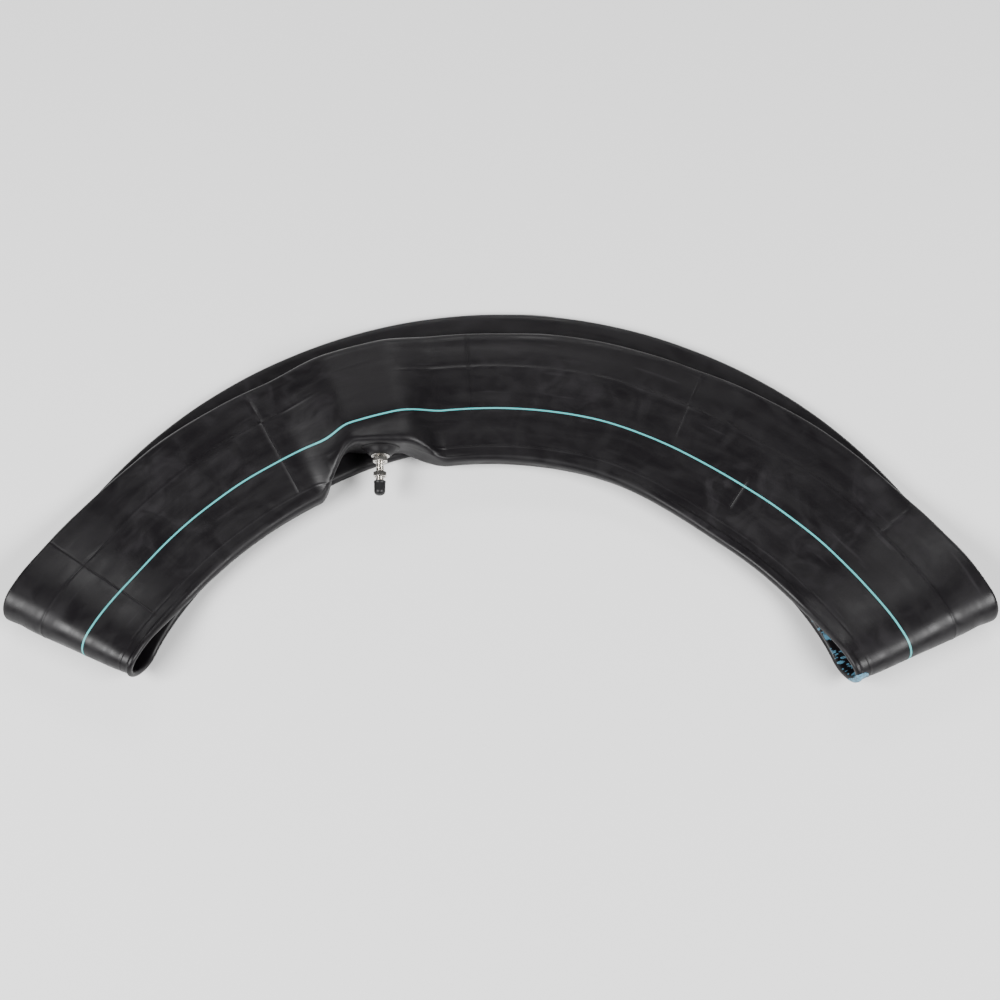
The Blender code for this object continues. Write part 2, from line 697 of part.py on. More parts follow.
def build():
    for obj in list(bpy.data.objects):
        bpy.data.objects.remove(obj, do_unlink=True)
    material("cutter", (0.5, 0.5, 0.5), 0.5)
    rubber = material("butyl_rubber", (0.022, 0.021, 0.023), 0.42)
    pad_rubber = material("pad_rubber", (0.026, 0.025, 0.027), 0.5)
    seal = material("seal_rubber", (0.03, 0.03, 0.03), 0.6)
    red_seal = material("red_seal", (0.35, 0.03, 0.02), 0.5)
    nickel = material("nickel_plate", (0.74, 0.72, 0.69), 0.22, 1.0)
    brass = material("brass", (0.72, 0.52, 0.24), 0.3, 1.0)
    steel = material("spring_steel", (0.55, 0.56, 0.58), 0.3, 1.0)
    plastic = material("cap_plastic", (0.02, 0.02, 0.021), 0.45)

    origin = arch_centre()
    valve = valve_frame(origin)
    tube_body(rubber, origin, valve)
    valve_base_pad(pad_rubber, valve)
    valve_stem(nickel, valve)
    ridge_washer(nickel, valve)
    hex_nut("clamp_nut", CLAMP_NUT_BASE, CLAMP_NUT_WALL, nickel, valve)
    hex_nut("rim_nut", RIM_NUT_BASE, RIM_NUT_WALL, nickel, valve)
    cap_shell(plastic, valve)
    cap_gasket(seal, valve)
    core_plug(brass, valve)
    core_barrel(brass, valve)
    core_barrel_gasket(red_seal, valve)
    core_pin(brass, valve)
    core_ring("core_pin_cup", CUP_TOP, CUP_THICKNESS, brass, valve)
    core_ring("core_cup_gasket", CUP_GASKET_TOP, CUP_GASKET_THICKNESS, seal, valve)
    core_spring(steel, valve)


build()
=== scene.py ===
# %% [markdown]
# # An inner tube, let down and folded
# A motorcycle inner tube is a ring of soft black rubber. Let down and pressed flat it becomes a wide band
# with two round edges, and for its box it is folded in half. The mechanical model already fixes where the
# band, its folds and the metal valve lie. This notebook puts the finish on it: a smooth skin with its mould
# lines and printed stripe, a valve with real threads, and the light of a small studio.

import json
import math

import bmesh
import bpy
import numpy as np
from mathutils import Matrix, Vector, noise


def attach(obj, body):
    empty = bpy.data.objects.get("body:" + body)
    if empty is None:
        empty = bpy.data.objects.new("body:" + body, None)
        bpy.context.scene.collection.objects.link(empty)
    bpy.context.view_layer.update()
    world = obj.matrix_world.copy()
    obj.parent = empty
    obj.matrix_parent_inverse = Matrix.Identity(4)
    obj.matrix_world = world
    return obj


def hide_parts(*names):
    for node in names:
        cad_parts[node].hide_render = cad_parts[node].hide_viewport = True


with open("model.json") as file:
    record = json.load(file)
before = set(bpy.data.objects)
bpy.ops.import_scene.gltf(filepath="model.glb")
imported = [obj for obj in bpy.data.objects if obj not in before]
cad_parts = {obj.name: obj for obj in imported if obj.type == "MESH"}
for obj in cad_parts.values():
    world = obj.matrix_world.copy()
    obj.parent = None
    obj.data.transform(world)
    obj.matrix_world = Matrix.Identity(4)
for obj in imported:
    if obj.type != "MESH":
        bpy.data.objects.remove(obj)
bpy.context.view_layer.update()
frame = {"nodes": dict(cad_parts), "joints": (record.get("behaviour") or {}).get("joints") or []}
MM = 0.001

# %% [markdown]
# ## Small helpers
# In Blender an operator acts on whatever is selected, so every helper here first clears the selection. A
# turned piece, such as a washer, could be made by spinning a profile. Here one ring of points is drawn and
# extruded from height to height, scaled as it goes. It is done like this by hand too, and also gives ovals.

# %% Selecting, turning and placing
def only(piece):
    """Selects this piece alone and makes it active."""
    bpy.ops.object.select_all(action="DESELECT")
    piece.select_set(True)
    bpy.context.view_layer.objects.active = piece


def edit(piece):
    only(piece)
    bpy.ops.object.mode_set(mode="EDIT")


def leave():
    bpy.ops.object.mode_set(mode="OBJECT")


def turned(name, rings, sides, closed=True):
    """Rings of (half length, half height, level) extruded one from the other, then closed or capped."""
    bpy.ops.object.select_all(action="DESELECT")
    bpy.ops.mesh.primitive_circle_add(vertices=sides, radius=1)
    piece = bpy.context.object
    piece.name = name
    edit(piece)
    bpy.ops.mesh.select_all(action="SELECT")
    bpy.ops.transform.resize(value=(rings[0][0], rings[0][1], 1), center_override=(0, 0, 0))
    bpy.ops.transform.translate(value=(0, 0, rings[0][2]))
    for last, new in zip(rings, rings[1:] + (rings[:1] if closed else [])):
        bpy.ops.mesh.extrude_edges_move(TRANSFORM_OT_translate={"value": (0, 0, new[2] - last[2])})
        bpy.ops.transform.resize(value=(new[0] / last[0], new[1] / last[1], 1),
                                 center_override=(0, 0, new[2]))
    if not closed:
        bpy.ops.mesh.edge_face_add()
        bpy.ops.mesh.select_all(action="DESELECT")
        mesh = bmesh.from_edit_mesh(piece.data)
        for edge in mesh.edges:
            edge.select_set(edge.is_boundary)
        bmesh.update_edit_mesh(piece.data)
        bpy.ops.mesh.edge_face_add()
    bpy.ops.mesh.select_all(action="SELECT")
    bpy.ops.mesh.remove_doubles(threshold=0.002 * MM)
    bpy.ops.mesh.normals_make_consistent(inside=False)
    leave()
    return piece


def round_rings(outline):
    return [(radius, radius, level) for radius, level in outline]


def apply_modifier(piece, kind, **settings):
    only(piece)
    modifier = piece.modifiers.new(kind.title(), kind)
    for key, value in settings.items():
        setattr(modifier, key, value)
    bpy.ops.object.modifier_apply(modifier=modifier.name)


def smooth(piece, degrees=35):
    only(piece)
    bpy.ops.object.shade_smooth_by_angle(angle=math.radians(degrees))


def dress(piece, look, body, slot, *nodes):
    """Gives a finished piece its material and the body it rides on, and hides the nodes it stands for; slot
    is not used.
    """
    piece.data.materials.clear()
    piece.data.materials.append(look)
    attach(piece, body)
    if nodes:
        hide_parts(*nodes)
    low = [min(v.co[i] for v in piece.data.vertices) / MM for i in range(3)]
    high = [max(v.co[i] for v in piece.data.vertices) / MM for i in range(3)]
    print(piece.name, len(piece.data.polygons), "faces,", "from", [round(v, 1) for v in low],
          "to", [round(v, 1) for v in high])


# %% [markdown]
# ## Short ways to write a material
# Each finish below is a Principled shader with noise patterns wired into its colour, roughness and bump.
# The patterns read Object coordinates, so they stay fixed in the rubber and metal, or the piece's own UV
# map where they follow the band.

# %% Material helpers
def new_look(name, colour, roughness, metallic=0.0, specular=0.5):
    look = bpy.data.materials.new(name)
    look.use_nodes = True
    shader = look.node_tree.nodes["Principled BSDF"]
    shader.inputs["Base Color"].default_value = (*colour, 1)
    shader.inputs["Roughness"].default_value = roughness
    shader.inputs["Metallic"].default_value = metallic
    shader.inputs["Specular IOR Level"].default_value = specular
    return look


def pattern(look, scale, detail=3.0, stretch=(1, 1, 1), space="Object", distortion=0.0):
    """A noise pattern with this many grains to the metre, as a value from about 0 to 1."""
    nodes, links = look.node_tree.nodes, look.node_tree.links
    place = nodes.new("ShaderNodeTexCoord")
    mapping = nodes.new("ShaderNodeMapping")
    mapping.inputs["Scale"].default_value = stretch
    grain = nodes.new("ShaderNodeTexNoise")
    grain.inputs["Scale"].default_value = scale
    grain.inputs["Detail"].default_value = detail
    grain.inputs["Distortion"].default_value = distortion
    links.new(place.outputs[space], mapping.inputs["Vector"])
    links.new(mapping.outputs["Vector"], grain.inputs["Vector"])
    return grain.outputs["Fac"]


def between(look, value, low, high, start, end):
    """Takes value from the range low..high to start..end, and no further."""
    node = look.node_tree.nodes.new("ShaderNodeMapRange")
    for name, number in (("From Min", low), ("From Max", high), ("To Min", start), ("To Max", end)):
        node.inputs[name].default_value = number
    look.node_tree.links.new(value, node.inputs["Value"])
    return node.outputs["Result"]


def maths(look, operation, first, second):
    node = look.node_tree.nodes.new("ShaderNodeMath")
    node.operation = operation
    for socket, value in zip(node.inputs, (first, second)):
        if isinstance(value, (int, float)):
            socket.default_value = value
        else:
            look.node_tree.links.new(value, socket)
    return node.outputs["Value"]


def tint(look, share, colour, under=None):
    """Mixes a colour over the base colour, or over an earlier mix, by share."""
    node = look.node_tree.nodes.new("ShaderNodeMix")
    node.data_type = "RGBA"
    shader = look.node_tree.nodes["Principled BSDF"]
    if under:
        look.node_tree.links.new(under, node.inputs["A"])
    else:
        node.inputs["A"].default_value = shader.inputs["Base Color"].default_value
    node.inputs["B"].default_value = (*colour, 1)
    look.node_tree.links.new(share, node.inputs["Factor"])
    look.node_tree.links.new(node.outputs["Result"], shader.inputs["Base Color"])
    return node.outputs["Result"]


def roughen(look, value):
    look.node_tree.links.new(value, look.node_tree.nodes["Principled BSDF"].inputs["Roughness"])


def raise_grain(look, height, depth, under=None):
    """Adds a pattern to the surface as a fine relief of this depth."""
    node = look.node_tree.nodes.new("ShaderNodeBump")
    node.inputs["Distance"].default_value = depth
    node.inputs["Strength"].default_value = 1.0
    look.node_tree.links.new(height, node.inputs["Height"])
    if under:
        look.node_tree.links.new(under, node.inputs["Normal"])
    shader = look.node_tree.nodes["Principled BSDF"]
    look.node_tree.links.new(node.outputs["Normal"], shader.inputs["Normal"])
    return node.outputs["Normal"]


# %% [markdown]
# ## Rubber
# Moulded butyl rubber is nearly black and satin: its sheen is broken by handling, by traces of talc and by
# long drag marks where the tube was pulled through its mould. So the colour hardly changes, and most of the
# finish is in the roughness. The drag marks follow the band, so they read the skin's own UV map, which is
# laid out in metres along and across it.

# %% The rubber of the tube
RUBBER_SPECULAR = 0.32
rubber = new_look("satin butyl rubber", (0.0032, 0.0025, 0.0034), 0.42, specular=RUBBER_SPECULAR)
clouds = pattern(rubber, 9, 4, distortion=0.6)
smudges = pattern(rubber, 38, 5, distortion=1.2)
drags = pattern(rubber, 60, 3, stretch=(0.28, 1.6, 1), space="UV", distortion=0.4)
talc = maths(rubber, "MULTIPLY", between(rubber, clouds, 0.48, 0.72, 0, 1),
             between(rubber, smudges, 0.5, 0.74, 0, 0.5))
dusty = tint(rubber, talc, (0.02, 0.0175, 0.021))
hairlines = between(rubber, pattern(rubber, 150, 2, stretch=(0.1, 1, 1), space="UV"), 0.66, 0.74, 0, 0.35)
tint(rubber, maths(rubber, "MULTIPLY", hairlines, clouds), (0.035, 0.032, 0.036), under=dusty)
worn = maths(rubber, "ADD", between(rubber, smudges, 0.35, 0.65, 0.35, 0.47),
             between(rubber, drags, 0.4, 0.7, 0, 0.12))
roughen(rubber, worn)
fine = raise_grain(rubber, pattern(rubber, 1400, 2), 0.03 * MM)
raise_grain(rubber, drags, 0.22 * MM, under=fine)
print("rubber:", len(rubber.node_tree.nodes), "nodes")

# %% [markdown]
# ## The band
# The skin could be sculpted by hand, but an inner tube is a ring and stays one when it is folded. So it is
# worked out as rings of points, the cross-sections of the band, one after the other: along the upper layer,
# round the right fold, back along the lower layer and round the left fold. Each cross-section keeps its
# length round the outside, as rubber does when a tube is only pressed flat. The sizes are those of the
# mechanical model, in the same frame.

# %% Sizes of the band
GIRTH = 268 * MM
LOWER_THICKNESS, UPPER_THICKNESS = 10 * MM, 9.5 * MM
SWELL, SWELL_ANGLE, SWELL_REACH = 8 * MM, math.radians(-10), math.radians(46)
SPREAD, SPREAD_START, SPREAD_REACH = 11 * MM, math.radians(12), math.radians(24)
CROWN, LAYER_GAP, CORNER, CORNER_SHARE = 1.5 * MM, 1.2 * MM, 5.5 * MM, 0.45
OUTER_RADIUS, HALF_ANGLE = 467 * MM, math.radians(61.4)
TAPER, TAPER_REACH, LOWER_TAPER = 4 * MM, math.radians(16), 7 * MM
LOWER_RADIUS, LOWER_ADVANCE = OUTER_RADIUS - 35 * MM, 62 * MM
LOWER_HALF_ANGLE = HALF_ANGLE + math.asin(LOWER_ADVANCE * math.sin(HALF_ANGLE) / LOWER_RADIUS)
FOLD_HEIGHT, FOLD_SLOPE, FOLD_LEVEL, FOLD_THICKNESS = 41 * MM, 130 * MM, 8 * MM, 6.4 * MM
VALVE_ANGLE, VALVE_DROOP = math.radians(-16.2), math.radians(6)
FACE_LENGTH, FACE_HEIGHT, FACE_SLACK = 35 * MM, 38 * MM, 11.8 * MM
FACE_EASE, FACE_EASE_LEFT, SHOULDER_LEAN = 38 * MM, 46 * MM, 0.7
UP = np.array([0.0, 0.0, 1.0])


def eased(value):
    """0 to 1 with level ends."""
    value = np.clip(value, 0.0, 1.0)
    return value * value * (3 - 2 * value)


def radial(angle):
    return np.array([math.sin(angle), math.cos(angle), 0.0])


def forward(angle):
    return np.array([math.cos(angle), -math.sin(angle), 0.0])


def valve_share(angle):
    """1 on the flat face under the valve, 0 away from it."""
    distance = (angle - VALVE_ANGLE) * face_distance()
    ease = FACE_EASE if distance > 0 else FACE_EASE_LEFT
    return 1 - eased((abs(distance) - FACE_LENGTH / 2) / ease)


def spread_share(angle):
    return eased((angle - SPREAD_START) / SPREAD_REACH)


def fold_share(angle):
    """1 beside a fold, 0 where the upper layer rests on the lower one."""
    run = (HALF_ANGLE - abs(angle)) * OUTER_RADIUS - FOLD_LEVEL
    share = min(max(run / FOLD_SLOPE, 0), 1)
    return (1 - share) ** 3 * (1 + 3 * share)


def lower_fold_share(angle):
    return 1 - eased((LOWER_HALF_ANGLE - abs(angle)) * LOWER_RADIUS / FOLD_SLOPE)


def upper_edge(angle):
    beside_fold = 1 - eased((HALF_ANGLE - abs(angle)) / TAPER_REACH)
    return OUTER_RADIUS - TAPER * beside_fold


def upper_thickness(angle):
    plain = UPPER_THICKNESS + SWELL * (1 - eased(abs(angle - SWELL_ANGLE) / SWELL_REACH))
    return plain + (FOLD_THICKNESS - plain) * fold_share(angle)


def lower_thickness(angle):
    return LOWER_THICKNESS + (FOLD_THICKNESS - LOWER_THICKNESS) * lower_fold_share(angle)


def inner_thickness(angle):
    thickness = upper_thickness(angle)
    return thickness + (FACE_HEIGHT - thickness) * valve_share(angle)


def upper_height(angle):
    rest = LOWER_THICKNESS + LAYER_GAP + inner_thickness(angle) / 2
    raised = FOLD_HEIGHT - upper_thickness(angle) / 2
    return rest + (raised - rest) * fold_share(angle)


def corner_radius(thickness):
    return min(CORNER, CORNER_SHARE * thickness)


def band_width(thickness, inner):
    """Width that leaves the girth unchanged for these thicknesses at the outer and inner edge."""
    corner = corner_radius(inner)
    caps = math.pi * (thickness / 2 + corner) + inner - 2 * corner
    slant = (GIRTH - caps) / 2
    return math.sqrt(slant**2 - ((inner - thickness) / 2) ** 2) + thickness / 2 + corner


def face_distance():
    width = band_width(upper_thickness(VALVE_ANGLE), FACE_HEIGHT) - FACE_SLACK
    return (OUTER_RADIUS - width) * math.cos(VALVE_ANGLE)


plain_width = band_width(UPPER_THICKNESS, UPPER_THICKNESS)
print("band width away from the valve:", round(plain_width / MM, 1), "mm")

# %% [markdown]
# One cross-section is drawn as arcs and straight runs, starting at the outer edge, over the outside face to
# the inner edge and back underneath. Then points are read off it at chosen distances from the outer edge.
# A mould line or the stripe stays at its own distance all round the ring, as it does on the real rubber.

# %% One cross-section
LINES = [41 * MM, 116 * MM]  # mould lines along the band, from the outer edge
STRIPE, STRIPE_HALF = 81 * MM, 0.75 * MM
LINE_HALF = 0.6 * MM


def columns():
    """Distances from the outer edge, over the outside face, of the skin's lengthwise rows of points.

    They lie closer where the face turns over at the two edges, and leave room beside each line.
    """
    marks = [STRIPE - STRIPE_HALF, STRIPE, STRIPE + STRIPE_HALF]
    for line in LINES:
        marks += [line - LINE_HALF, line, line + LINE_HALF]
    plain = list(np.arange(0, 9, 1.3) * MM) + list(np.arange(11.5, 88, 2.9) * MM)
    plain += list(np.arange(89, 124, 1.9) * MM)
    plain = [p for p in plain if min(abs(p - m) for m in marks) > 0.9 * MM]
    return np.array(sorted(plain + marks))


OUTSIDE = columns()
EDGE_ROWS, UNDER_ROWS = 9, 50
PLAIN_ROWS_END = 90 * MM  # rows beyond this draw in where the face is shorter
EDGE_MARGIN = 4 * MM  # left free before the inner edge's own rows
UNDER_CROWDING = 0.35  # how far the rows underneath crowd towards the two edges


def outline(width, thickness, inner, crown):
    """The section as (across, height, on the outside face) points, densely spaced."""
    half, inner_half = thickness / 2, inner / 2
    corner = corner_radius(inner)
    run = width - half - corner
    slope = math.atan2(inner_half - half, run)
    quarter = math.pi / 2

    def arc(across, height, radius, start, end, steps):
        turns = np.linspace(start, end, steps)
        return np.stack([across + radius * np.cos(turns), height + radius * np.sin(turns)], 1)

    def straight(start, end, bow, steps=60):
        share = np.linspace(0, 1, steps)[1:-1, None]
        points = start + (end - start) * share
        points[:, 1] += bow * 4 * (share * (1 - share))[:, 0]
        return points

    cap = arc(run + corner, 0, half, 0, quarter - slope, 14)
    top = arc(corner, inner_half - corner, corner, quarter - slope, 2 * quarter, 14)
    base = arc(corner, corner - inner_half, corner, 2 * quarter, 3 * quarter + slope, 14)
    under = arc(run + corner, 0, half, slope - quarter, 0, 14)
    over = np.vstack([cap, straight(cap[-1], top[0], crown), top])
    face = straight(top[-1], base[0], 0, 12)
    below = np.vstack([base, straight(base[-1], under[0], 0), under])
    middle = (top[-1] + base[0]) / 2
    return (np.vstack([over, face[: len(face) // 2], middle]),
            np.vstack([middle, face[len(face) // 2 :], below]))


def read_at(points, distances):
    """Points at these distances along an outline."""
    steps = np.linalg.norm(np.diff(points, axis=0), axis=1)
    run = np.concatenate([[0], np.cumsum(steps)])
    return np.stack([np.interp(distances, run, points[:, i]) for i in (0, 1)], 1), run[-1]


def section(angle, inner_edge, outer_edge, middle, outside, thickness, inner=None, crown=0.0, lean=0.0):
    """One ring of the skin, in space."""
    inner = inner or thickness
    width = outer_edge - inner_edge
    over, under = outline(width, thickness, inner, crown)
    stretch = 1 + SPREAD * spread_share(angle) / (GIRTH / 2)
    length = read_at(over, [0])[1]
    reach = OUTSIDE * stretch
    limit = length - EDGE_MARGIN
    if reach[-1] > limit:
        squeeze = (limit - PLAIN_ROWS_END) / (reach[-1] - PLAIN_ROWS_END)
        beyond = reach > PLAIN_ROWS_END
        reach[beyond] = PLAIN_ROWS_END + (reach[beyond] - PLAIN_ROWS_END) * squeeze
    edge = np.linspace(reach[-1], length, EDGE_ROWS + 2)[1:-1]
    even = np.linspace(0, 1, UNDER_ROWS + 1)[:-1]
    crowded = (1 - np.cos(math.pi * even)) / 2
    back = UNDER_CROWDING * crowded + (1 - UNDER_CROWDING) * even
    flat = np.vstack([read_at(over, np.concatenate([reach, edge]))[0],
                      read_at(under, back * read_at(under, [0])[1])[0]])
    shift = lean * flat[:, 1] * (1 - flat[:, 0] / width) ** 3
    return (middle + radial(angle) * (inner_edge + flat[:, 0] - shift)[:, None]
            + outside * flat[:, 1][:, None])


print("rows of points round the band:", len(OUTSIDE) + EDGE_ROWS + UNDER_ROWS)

# %% [markdown]
# The ring has four stretches: two layers and two folds. A sweep along a curve would do for an even tube,
# but here the band thickens, leans and swells at the valve. So one function places a cross-section on the
# upper layer, one on the lower layer, and one turns it round a fold.

# %% The four stretches of the ring
def upper_section(angle):
    step = 1e-4  # radians
    share, thickness = valve_share(angle), upper_thickness(angle)
    plain = OUTER_RADIUS - band_width(thickness, thickness) - SPREAD * spread_share(angle)
    inner_edge = plain + (face_distance() / math.cos(angle) - plain) * share
    rise = upper_height(angle + step) - upper_height(angle - step)
    outside = UP - forward(angle) * rise / (2 * step * OUTER_RADIUS)
    outside /= np.linalg.norm(outside)
    crown = CROWN * (1 - fold_share(angle)) * (1 - share)
    lean = math.tan(VALVE_DROOP) / math.cos(angle) * share
    if angle < VALVE_ANGLE:
        lean += SHOULDER_LEAN * 4 * share * (1 - share)
    return section(angle, inner_edge, upper_edge(angle), UP * upper_height(angle), outside, thickness,
                   inner_thickness(angle), crown, lean)


def lower_section(angle):
    thickness = lower_thickness(angle)
    width = band_width(thickness, thickness) + SPREAD * spread_share(angle)
    width -= LOWER_TAPER * lower_fold_share(angle)
    middle = np.array([0, LOWER_ADVANCE, thickness / 2])
    return section(angle, LOWER_RADIUS - width, LOWER_RADIUS, middle, -UP, thickness)


def fold_section(side, share):
    """Round a fold, from the upper layer at 0 to the lower one at 1; side is +1 right, -1 left."""
    turn, drift = math.pi * share, float(eased(share))
    top, low = FOLD_HEIGHT - FOLD_THICKNESS / 2, FOLD_THICKNESS / 2
    radius = (top - low) / 2
    angle = side * (HALF_ANGLE + (LOWER_HALF_ANGLE - HALF_ANGLE) * drift)
    away = forward(angle) * side
    start = upper_edge(HALF_ANGLE)
    outer_edge = start + (LOWER_RADIUS - start) * drift
    width = band_width(FOLD_THICKNESS, FOLD_THICKNESS) + SPREAD * spread_share(angle)
    width -= TAPER * (1 - drift) + LOWER_TAPER * drift
    middle = away * radius * math.sin(turn) + np.array([0, LOWER_ADVANCE * drift, 0])
    middle = middle + UP * ((top + low) / 2 + radius * math.cos(turn))
    return section(angle, outer_edge - width, outer_edge, middle,
                   away * math.sin(turn) + UP * math.cos(turn), FOLD_THICKNESS)


# Mould lines across the band: angle, and where each starts and ends, from the outer edge.
CROSS_LINES = [
    (math.radians(-55), 4 * MM, 118 * MM), (math.radians(-28.6), 8 * MM, 116 * MM),
    (math.radians(-3.7), 6 * MM, 86 * MM), (math.radians(22.4), 8 * MM, 72 * MM),
    (math.radians(33), 74 * MM, 104 * MM), (math.radians(49.4), 12 * MM, 42 * MM),
]
UPPER_STEP, VALVE_STEP, LOWER_STEP, FOLD_RINGS = 4.2 * MM, 2.1 * MM, 6 * MM, 22


def upper_angles():
    """Angles of the upper layer's rings: closer at the valve, and one each side of a cross line."""
    left = VALVE_ANGLE - (FACE_LENGTH / 2 + FACE_EASE_LEFT) / face_distance()
    right = VALVE_ANGLE + (FACE_LENGTH / 2 + FACE_EASE) / face_distance()
    stops = [-HALF_ANGLE, left, right, HALF_ANGLE]
    angles = []
    for start, end, step in zip(stops, stops[1:], (UPPER_STEP, VALVE_STEP, UPPER_STEP)):
        count = round((end - start) * OUTER_RADIUS / step)
        angles += list(np.linspace(start, end, count + 1)[:-1])
    for line, _, _ in CROSS_LINES:
        angles = [a for a in angles if abs(a - line) * OUTER_RADIUS > 1.2 * MM]
        angles += [line + side * LINE_HALF / OUTER_RADIUS for side in (-1, 0, 1)]
    return sorted(angles)


uppers = upper_angles()
lowers = np.linspace(LOWER_HALF_ANGLE, -LOWER_HALF_ANGLE,
                     round(2 * LOWER_HALF_ANGLE * LOWER_RADIUS / LOWER_STEP) + 1)[:-1]
rings = [upper_section(angle) for angle in uppers]
rings += [fold_section(1, ring / FOLD_RINGS) for ring in range(FOLD_RINGS)]
rings += [lower_section(angle) for angle in lowers]
rings += [fold_section(-1, 1 - ring / FOLD_RINGS) for ring in range(FOLD_RINGS)]
skin = np.array(rings)
plan = skin.reshape(-1, 3)
skin -= np.array([1, 1, 0]) * (plan.min(axis=0) + plan.max(axis=0)) / 2
print("rings:", skin.shape[0], "rows:", skin.shape[1])

# %% [markdown]
# ## Relief in the skin
# Pressed rubber is never flat. The band is a little thinner just inside its two thick edges, broad soft
# waves run through it, the stiff valve base leaves a hollow behind it, and the mould's joints leave fine
# raised lines. Bump mapping would vanish at the edges, so these are real shape: each point moves along the
# surface's normal, worked out from its neighbours on the grid.

# %% Move the skin's points
ringwise = np.roll(skin, -1, axis=0) - np.roll(skin, 1, axis=0)
rowwise = np.roll(skin, -1, axis=1) - np.roll(skin, 1, axis=1)
normals = np.cross(rowwise, ringwise)
normals /= np.linalg.norm(normals, axis=2, keepdims=True)
FACE_ROW = 25  # a row on the upper layer's outside face, where a normal should point up
if normals[len(uppers) // 2, FACE_ROW] @ UP < 0:
    normals = -normals

ROWS = skin.shape[1]
UPPERS = len(uppers)
ring_angle = np.concatenate([uppers, np.full(FOLD_RINGS, HALF_ANGLE),
                             lowers, np.full(FOLD_RINGS, -HALF_ANGLE)])
distance = np.concatenate([OUTSIDE, np.full(EDGE_ROWS + UNDER_ROWS, np.nan)])
on_upper = np.arange(len(skin)) < UPPERS
at_valve = np.array([valve_share(a) if up else 0.0 for a, up in zip(ring_angle, on_upper)])
is_outside = np.arange(ROWS) < len(OUTSIDE)
relief = np.zeros(skin.shape[:2])


def hump(value, centre, reach):
    return np.exp(-(((value - centre) / reach) ** 2))


LINE_HEIGHT, WAIST, HOLLOW, LIP = 0.32 * MM, 0.8 * MM, 1.4 * MM, 0.4 * MM
WAVE, RIPPLE = 2.2 * MM, 0.8 * MM
WAVES_A_METRE, RIPPLES_A_METRE = 8, 24
UNDER_WAVE_SHARE, VALVE_STIFFNESS = 0.25, 0.8
# Places across the band: distance from the outer edge, and reach to each side.
OUTER_WAIST, INNER_WAIST = (17 * MM, 8 * MM), (118 * MM, 7 * MM)
VALVE_HOLLOW, VALVE_LIP = (88 * MM, 9 * MM), (103 * MM, 4 * MM)
for row in np.where(is_outside)[0]:
    place = distance[row]
    waist = hump(place, *OUTER_WAIST) + hump(place, *INNER_WAIST)
    relief[:, row] -= WAIST * waist * (1 - at_valve)
    relief[:, row] -= HOLLOW * hump(place, *VALVE_HOLLOW) * at_valve
    relief[:, row] += LIP * hump(place, *VALVE_LIP) * at_valve
    for line in LINES:
        if abs(place - line) < 0.01 * MM:
            relief[:, row] += LINE_HEIGHT * (1 - at_valve)
# Soft dents, in degrees and millimetres: angle, distance from the outer edge, reach along and across the
# band, and depth; a negative depth is a swelling.
DENTS = [(-51, 52, 30, 26, 2.6), (-43, 100, 34, 18, -1.6), (-30, 60, 26, 30, 1.4), (12, 50, 40, 22, -1.2),
         (34, 40, 34, 24, 2.2), (41, 96, 36, 18, 1.6), (52, 60, 24, 30, -1.4)]
for angle, place, along_reach, across_reach, depth in DENTS:
    beside = hump((ring_angle - math.radians(angle)) * OUTER_RADIUS, 0, along_reach * MM) * on_upper
    relief[:, is_outside] -= depth * MM * beside[:, None] * hump(distance[is_outside], place * MM,
                                                                 across_reach * MM)
for line, start, end in CROSS_LINES:
    ring = int(np.argmin(np.abs(np.array(uppers) - line)))
    for row in np.where(is_outside)[0]:
        if start < distance[row] < end:
            relief[ring, row] += LINE_HEIGHT

# The waves are weaker underneath and round the valve, and the face that carries the patch stays flat.
wave_share = np.outer(1 - VALVE_STIFFNESS * at_valve, np.where(is_outside, 1.0, UNDER_WAVE_SHARE))
flat_rows = np.concatenate([OUTSIDE > 96 * MM, np.ones(EDGE_ROWS + UNDER_ROWS, bool)])
wave_share[np.ix_(at_valve > 0.5, flat_rows)] = 0.0
for ring in range(len(skin)):
    for row in range(ROWS):
        point = Vector(skin[ring, row])
        wave = noise.noise(point * WAVES_A_METRE) * WAVE + noise.noise(point * RIPPLES_A_METRE) * RIPPLE
        relief[ring, row] += wave * wave_share[ring, row]
skin = skin + normals * relief[:, :, None]
skin[:, :, 2] = np.maximum(skin[:, :, 2], 0)  # the table
print("relief from", round(relief.min() / MM, 2), "to", round(relief.max() / MM, 2), "mm")

# %% [markdown]
# A tube is made as a pipe whose two ends are joined into a ring, and the mesh is made the same way. A flat
# grid has a row for each ring; its points take their places on the band, its edges meet, and merging the
# doubles joins them. Its UV map is laid out in metres, along the ring and across the band.

# %% The skin of the tube
RINGS = len(skin)
bpy.ops.object.select_all(action="DESELECT")
bpy.ops.mesh.primitive_grid_add(x_subdivisions=RINGS, y_subdivisions=ROWS, size=1, calc_uvs=True)
tube_skin = bpy.context.object
tube_skin.name = "tube_skin"
sheet = np.empty(3 * len(tube_skin.data.vertices))
tube_skin.data.vertices.foreach_get("co", sheet)
ring_number = np.rint((sheet[0::3] + 0.5) * RINGS).astype(int)
row_number = np.rint((sheet[1::3] + 0.5) * ROWS).astype(int)
tube_skin.data.vertices.foreach_set("co", skin[ring_number % RINGS, row_number % ROWS].reshape(-1))

